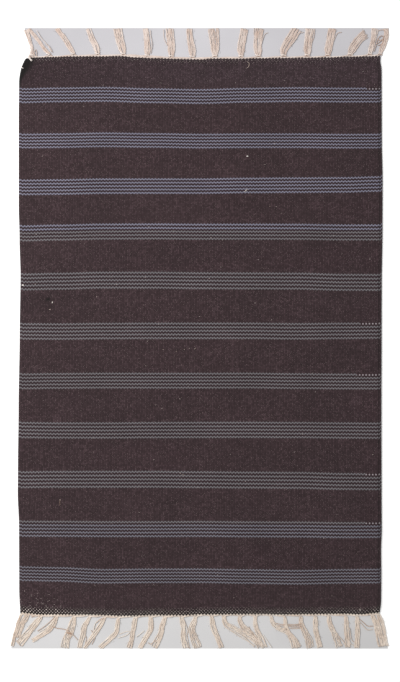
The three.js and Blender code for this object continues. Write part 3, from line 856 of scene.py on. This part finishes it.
class Wiring:
    """Adds nodes to a tree in a few words."""

    def __init__(self, tree):
        self.tree = tree

    def node(self, kind, **settings):
        made = self.tree.nodes.new(kind)
        for name, value in settings.items():
            setattr(made, name, value)
        return made

    def feed(self, socket, value):
        if isinstance(value, bpy.types.NodeSocket):
            self.tree.links.new(value, socket)
        else:
            socket.default_value = value

    def fed(self, made, *values, **named):
        """Feeds the first sockets of a node, or those named, and gives back what it puts out."""
        for socket, value in zip(made.inputs, values):
            self.feed(socket, value)
        for name, value in named.items():
            self.feed(made.inputs[name], value)
        return made.outputs[:]

    def calc(self, operation, *values):
        return self.fed(self.node("ShaderNodeMath", operation=operation), *values)[0]

    def times(self, *values):
        """The product of its values."""
        product = values[0]
        for value in values[1:]:
            product = self.calc("MULTIPLY", product, value)
        return product

    def off(self, value, middle=0.5):
        """How far a value is from a middle, to either side."""
        return self.calc("ABSOLUTE", self.calc("SUBTRACT", value, middle))

    def above(self, value, limit):
        return self.calc("GREATER_THAN", value, limit)

    def blend(self, share, first, second, how="MIX"):
        made = self.node("ShaderNodeMix", data_type="RGBA", blend_type=how)
        self.feed(made.inputs["Factor"], share)
        self.feed(made.inputs[6], first)
        self.feed(made.inputs[7], second)
        return made.outputs[2]

    def reach(self, value, low, high, to_low=0, to_high=1, how="SMOOTHSTEP"):
        made = self.node("ShaderNodeMapRange", interpolation_type=how)
        return self.fed(made, value, low, high, to_low, to_high)[0]

    def ramp(self, *values):
        return self.reach(*values, how="LINEAR")

    def point(self, x, y, z):
        return self.fed(self.node("ShaderNodeCombineXYZ"), x, y, z)[0]

    def parts(self, point):
        return self.fed(self.node("ShaderNodeSeparateXYZ"), point)

    def attribute(self, name):
        return self.node("ShaderNodeAttribute", attribute_name=name).outputs["Fac"]

    def chance(self, x, y, z=0):
        """A fixed number from 0 to 1 for each whole x, y and z."""
        made = self.node("ShaderNodeTexWhiteNoise", noise_dimensions="3D")
        return self.fed(made, Vector=self.point(x, y, z))[0]

    def cloud(self, point, scale, detail=2, distortion=0):
        """Smooth noise round one half."""
        made = self.node("ShaderNodeTexNoise")
        return self.fed(made, Vector=point, Scale=scale, Detail=detail, Distortion=distortion)[0]

    def fuzz(self, point, scale):
        """Fine loose fibres, as a value round one half."""
        return self.cloud(point, scale, 4, 0.6)

    def scaled(self, colour, share):
        made = self.node("ShaderNodeVectorMath", operation="SCALE")
        return self.fed(made, colour, Scale=share)[0]

    def bump(self, strength, distance, height):
        made = self.node("ShaderNodeBump")
        return self.fed(made, Strength=strength, Distance=distance, Height=height)[0]


def new_material(name, finish):
    """A material whose shader has the plain numbers of its finish."""
    material = bpy.data.materials.new(name)
    material.use_nodes = True
    shader = material.node_tree.nodes["Principled BSDF"]
    for label, value in finish.items():
        shader.inputs[label].default_value = value
    return material, Wiring(material.node_tree), shader


def weft_floats(w, at, stagger):
    """Sets the column and pick of the short float at a point of the plain weave, and the place
    within that float, and gives back its relief."""
    at.column = w.calc("FLOOR", at.columns)
    odd = w.calc("FLOORED_MODULO", at.column, 2)
    pairs = w.calc("DIVIDE", w.calc("SUBTRACT", at.picks, w.times(odd, stagger)), 2)
    pair = w.calc("FLOOR", pairs)
    at.pick = w.calc("ADD", w.times(pair, 2), odd)
    at.across = w.calc("SUBTRACT", at.columns, at.column)
    at.along = w.calc("SUBTRACT", pairs, pair)
    at.junction = w.calc("FLOOR", w.calc("ADD", pairs, 0.5))
    dome_across = w.calc("SUBTRACT", 1, w.calc("POWER", w.off(w.times(at.across, 2), 1), 2.4))
    dome_along = w.calc("SUBTRACT", 1, w.calc("POWER", w.off(w.times(at.along, 2), 1), 3))
    plies = w.calc("ABSOLUTE", w.calc("SINE", w.times(at.along, 3 * math.pi)))
    return w.calc("ADD", w.times(dome_across, dome_along, 0.85), w.times(plies, 0.15))


def light_lines(w, at):
    """The mask of the light lines, the mask of their bands, and the colour of their yarn."""
    from_first = w.calc("SUBTRACT", at.pick, FIRST_BAND_PICK)
    in_repeat = w.calc("FLOORED_MODULO", from_first, PICKS_A_REPEAT)
    in_band = w.calc("LESS_THAN", in_repeat, LAST_LINE + LIGHT_PICKS)
    in_pair = w.calc("FLOORED_MODULO", in_repeat, PICKS_A_LINE)
    in_line = w.calc("LESS_THAN", in_pair, LIGHT_PICKS - 0.5)
    thin = w.calc("LESS_THAN", w.off(at.along), 0.4)

    # Towards the right, the last line of some bands has a single light pick and shows as dots
    dotted = w.attribute("dotted")
    left_out = w.times(w.above(in_repeat, LAST_LINE + 0.5), dotted)
    kept = w.calc("SUBTRACT", 1, w.above(left_out, 0.5))
    light = w.times(in_band, in_line, thin, kept)

    # The light yarn came in three lots; its dots stand up and are painted lighter, as a painted
    # highlight
    lot = w.blend(w.above(from_first, SECOND_LOT_FROM), FIRST_LOT, SECOND_LOT)
    lot = w.blend(w.above(from_first, THIRD_LOT_FROM), lot, THIRD_LOT)
    standing = w.times(w.above(in_repeat, LAST_LINE - 0.5), dotted)
    lot = w.blend(w.above(standing, 0.5), lot, DOT_PAINTED_HIGHLIGHT)
    return light, in_band, lot


def ground_colour(w, at, in_band):
    """The aubergine ground, which differs by pick, by float and by patch, with painted shade between
    the lines of the bands and painted light and shade towards both ends.
    """
    pick_tone = w.cloud(w.point(w.times(at.columns, 0.02), w.times(at.pick, 3.7), 0), 1)
    patches = w.cloud(w.point(w.times(at.columns, 0.11), w.times(at.picks, 0.05), 8), 1)
    float_tone = w.calc("POWER", w.chance(at.column, at.pick), 2)
    ground = w.blend(pick_tone, *GROUND)
    speckled = w.times(float_tone, w.reach(patches, 0.4, 0.62, 0.68, 1.05))
    ground = w.blend(speckled, ground, GROUND_SPECK)
    # Painted shade: the ground between the light lines of a band is darker and redder
    ground = w.blend(w.times(in_band, 0.6), ground, GROUND_IN_BAND)
    # Painted light and shade at the far end: darker at the left, lighter and cooler towards the right
    past_bands = w.reach(at.from_far, 28, 44, 1, 0)
    tint = w.blend(w.ramp(at.columns, 20, 110), *FAR_END_PAINTED_LIGHT)
    ground = w.blend(past_bands, ground, w.blend(1, ground, tint, "MULTIPLY"))
    # Painted light at the near end: lighter towards the left
    before_bands = w.reach(at.picks, 26, 42, 1, 0)
    tint = w.blend(w.ramp(at.columns, 20, 190), *NEAR_END_PAINTED_LIGHT)
    return w.blend(before_bands, ground, w.blend(1, ground, tint, "MULTIPLY"))


def float_shade(w, at):
    """Painted shade of the floats: deeper between them, at the ends and beside the right selvedge,
    times cloudy patches of tone.
    """
    clouds = w.cloud(w.point(w.times(at.columns, 0.03), w.times(at.picks, 0.02), 4), 1, 4)
    return w.times(
        w.reach(w.off(at.across), 0.28, 0.5, 1, 0.45),
        w.reach(w.off(at.along), 0.34, 0.5, 1, 0.6),
        w.reach(clouds, 0.3, 0.7, 0.93, 1.07),
        w.reach(at.picks, 2, 6.5, 0.4, 1),
        w.reach(at.from_far, 3, 7, 0.85, 1),
        w.reach(w.off(at.columns, WARP_COLUMNS - 1.9), 0.15, 0.8, 0.6, 1),
    )


def warp_dots(w, at):
    """The mask of the warp that shows where two floats meet: rows at both ends, and single specks."""
    near_end = w.times(
        w.reach(at.picks, 0.5, 6.5, 0.22, 0),
        w.reach(at.columns, 8, 60, 0.9, 0.58),
        w.above(at.picks, 1.4),
    )
    far_end = w.times(w.reach(at.from_far, 0.5, 5, 0.03, 0), w.above(at.from_far, 1.4))
    worn = w.times(w.reach(at.picks, 12, 32, 1, 0), w.reach(at.columns, 10, 34, 1, 0))
    seldom = w.calc("SUBTRACT", 0.9991, w.times(worn, 0.15))
    speck = w.times(w.above(w.chance(at.column, at.junction, 3), seldom), 0.07)
    loose = w.calc("ADD", w.calc("ADD", near_end, far_end), speck)
    show = w.times(w.reach(w.chance(at.column, at.junction, 9), 0, 1, 0.55, 1), loose)
    to_junction = w.off(w.off(at.along))
    tall = w.calc("POWER", w.calc("DIVIDE", to_junction, w.calc("MAXIMUM", show, 0.001)), 2)
    wide = w.calc("POWER", w.calc("DIVIDE", w.off(at.across), 0.34), 2)
    return w.reach(w.calc("ADD", tall, wide), 0.7, 1.1, 1, 0)


def woven_material():
    """Aubergine ground with bands of light lines, cream warp between the picks at both ends."""
    finish = {"Specular IOR Level": 0.25, "Sheen Weight": 0.05, "Sheen Roughness": 0.6}
    material, w, shader = new_material("woven kilim", finish)
    shares = w.parts(w.node("ShaderNodeUVMap", uv_map="weave").outputs[0])

    # Where a point lies in the weave, in warp columns and in picks
    at = SimpleNamespace()
    at.columns = w.times(shares[0], WARP_COLUMNS)
    at.picks = w.times(shares[1], PICKS)
    at.from_far = w.calc("SUBTRACT", PICKS, at.picks)
    from_end = w.calc("MINIMUM", at.picks, at.from_far)
    relief = weft_floats(w, at, w.reach(from_end, 7, 14, 1, 0.84))

    light, in_band, lot = light_lines(w, at)
    weft = w.scaled(w.blend(light, ground_colour(w, at, in_band), lot), float_shade(w, at))
    cloth = w.blend(warp_dots(w, at), weft, WARP_SHOWING)
    # Painted shade: the turned-under corner is painted near black, and the dark slub takes the same
    # colour
    w.feed(shader.inputs["Base Color"], w.blend(w.attribute("turned"), cloth, PAINTED_CORNER_SHADE_AND_SLUB))

    fibres = w.fuzz(w.node("ShaderNodeTexCoord").outputs["Object"], 1800)
    w.feed(shader.inputs["Roughness"], w.reach(fibres, 0.2, 0.8, 0.82, 1))
    high = w.calc("ADD", relief, w.times(fibres, 0.35))
    w.feed(shader.inputs["Normal"], w.bump(0.8, 0.0006, high))
    return material


def yarn_material():
    """Undyed cotton warp, two plies twisted together, with painted shade in the grooves between them.
    """
    finish = {"Specular IOR Level": 0.25, "Sheen Weight": 0.15}
    material, w, shader = new_material("undyed cotton yarn", finish)
    around, along, _ = w.parts(w.node("ShaderNodeUVMap", uv_map="yarn").outputs[0])
    turns = w.calc("ADD", w.times(around, 2), w.calc("DIVIDE", along, 2.6))
    ply = w.calc("ABSOLUTE", w.calc("SINE", w.times(turns, math.pi)))
    place_on = w.node("ShaderNodeTexCoord").outputs["Object"]
    fibres = w.fuzz(place_on, 1500)
    patches = w.ramp(w.cloud(place_on, 60), 0.3, 0.7, -0.12, 0.12)
    pale = w.calc("ADD", w.ramp(w.attribute("tone"), -1.5, 1), patches)
    tint = w.blend(w.ramp(w.parts(place_on)[1], -0.46, 0.46), *COTTON_TINT)
    cotton = w.blend(1, w.blend(pale, *COTTON), tint, "MULTIPLY")
    # Painted shade in the grooves between the plies darkens the cotton
    w.feed(shader.inputs["Base Color"], w.scaled(cotton, w.reach(ply, 0, 0.5, 0.9, 1)))
    w.feed(shader.inputs["Roughness"], w.reach(fibres, 0.2, 0.8, 0.8, 1))
    high = w.calc("ADD", ply, w.times(fibres, 0.4))
    w.feed(shader.inputs["Normal"], w.bump(0.7, 0.0003, high))
    return material


def floor_material():
    """A pale floor, with a strip under each fringe painted deeper, partly as painted shade, and
    painted light across the strips.
    """
    finish = {"Roughness": 0.9, "Specular IOR Level": 0.2}
    material, w, shader = new_material("pale floor", finish)
    place_on = w.node("ShaderNodeTexCoord").outputs["Object"]
    noise = w.cloud(place_on, 9)
    across, up, _ = w.parts(place_on)
    from_middle = w.calc("SUBTRACT", up, CLOTH_SHIFT_Y * MM)
    off_middle = w.calc("ABSOLUTE", from_middle)
    out = w.calc("SUBTRACT", off_middle, CLOTH_LENGTH / 2 * MM)
    far = w.above(from_middle, 0)
    deeper = 0
    for end, side, (near_edge, near_out), (far_edge, far_out) in STRIP_SIDES:
        tips = TRIM_LINE[end] * MM
        to_side = w.times(across, side)
        past = w.calc("SUBTRACT", to_side, w.ramp(out, near_out, far_out, near_edge, far_edge))
        quarter = w.times(
            w.above(to_side, 0),
            far if end > 0 else w.calc("SUBTRACT", 1, far),
            w.reach(off_middle, tips, tips + STRIP_BLUR, 1, 0),
            w.reach(past, 0, STRIP_BLUR, 1, 0),
        )
        deeper = w.calc("ADD", deeper, quarter)
    deeper = w.times(deeper, w.reach(off_middle, *STRIP_START))
    to_right = w.ramp(across, -0.3, 0.3)
    # Painted light and shade across the strips: the far strip is darker, the near one darkens towards
    # the right and the far one lightens
    tone = w.blend(far, w.blend(to_right, *NEAR_STRIP), w.blend(to_right, *FAR_STRIP))
    # Painted light: the strips are lighter towards the middle, most at the far end
    painted_light_swell = w.reach(w.off(across, -0.03), 0, 0.27, w.ramp(far, 0, 1, 0.03, 0.13), 0)
    mottled = w.ramp(noise, 0.3, 0.7, 0.96, 1.04)
    strip = w.scaled(tone, w.calc("ADD", mottled, painted_light_swell))
    w.feed(shader.inputs["Base Color"], w.blend(deeper, w.blend(noise, *FLOOR), strip))
    return material


# Stage, light and camera


def pale_floor():
    bm = bmesh.new()
    bmesh.ops.create_grid(bm, x_segments=1, y_segments=1, size=FLOOR_SIZE)
    finished("pale_floor", bm, floor_material(), False)


def key_light():
    """A large soft light that faces the middle of the rug."""
    data = bpy.data.lights.new("key", "AREA")
    data.shape = "DISK"
    data.size = KEY_SIZE
    data.energy = KEY_POWER
    data.color = KEY_COLOUR
    light = bpy.data.objects.new("key", data)
    light.location = KEY_PLACE
    light.rotation_mode = "QUATERNION"
    light.rotation_quaternion = (-Vector(KEY_PLACE)).to_track_quat("-Z", "Y")
    bpy.context.scene.collection.objects.link(light)


def studio():
    scene = bpy.context.scene
    scene.view_settings.view_transform = "Standard"
    scene.world = bpy.data.worlds.new("studio")
    scene.world.use_nodes = True
    sky = scene.world.node_tree.nodes["Background"]
    sky.inputs[0].default_value = (1, 1, 1, 1)
    sky.inputs[1].default_value = SKY_POWER
    key_light()
    data = bpy.data.cameras.new("camera")
    data.lens = CAMERA_LENS
    data.sensor_width = CAMERA_SENSOR
    camera = bpy.data.objects.new("camera", data)
    camera.location = CAMERA_PLACE
    scene.collection.objects.link(camera)
    scene.camera = camera


studio()
pale_floor()

cloth = woven_cloth(woven_material())
cotton = yarn_material()
far_fringe = fringe(
    "fringe_far_yarns", 1, FAR_TONE_PAINTED_SHADE, FAR_BUNDLES, FAR_STRAYS, [], FAR_CORDS, cotton, knotted=True
)
near_fringe = fringe(
    "fringe_near_yarns", -1, NEAR_TONE, NEAR_BUNDLES, NEAR_STRAYS, NEAR_WRAPS, NEAR_CORDS, cotton
)
flecks = cotton_flecks(cotton)

for piece, slot in (
    (cloth, "woven_cloth"),
    (far_fringe, "warp_yarn"),
    (near_fringe, "warp_yarn"),
    (flecks, "warp_yarn"),
):
    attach(piece, "root")
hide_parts("rug_cloth")
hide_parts("fringe_far")
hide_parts("fringe_near")
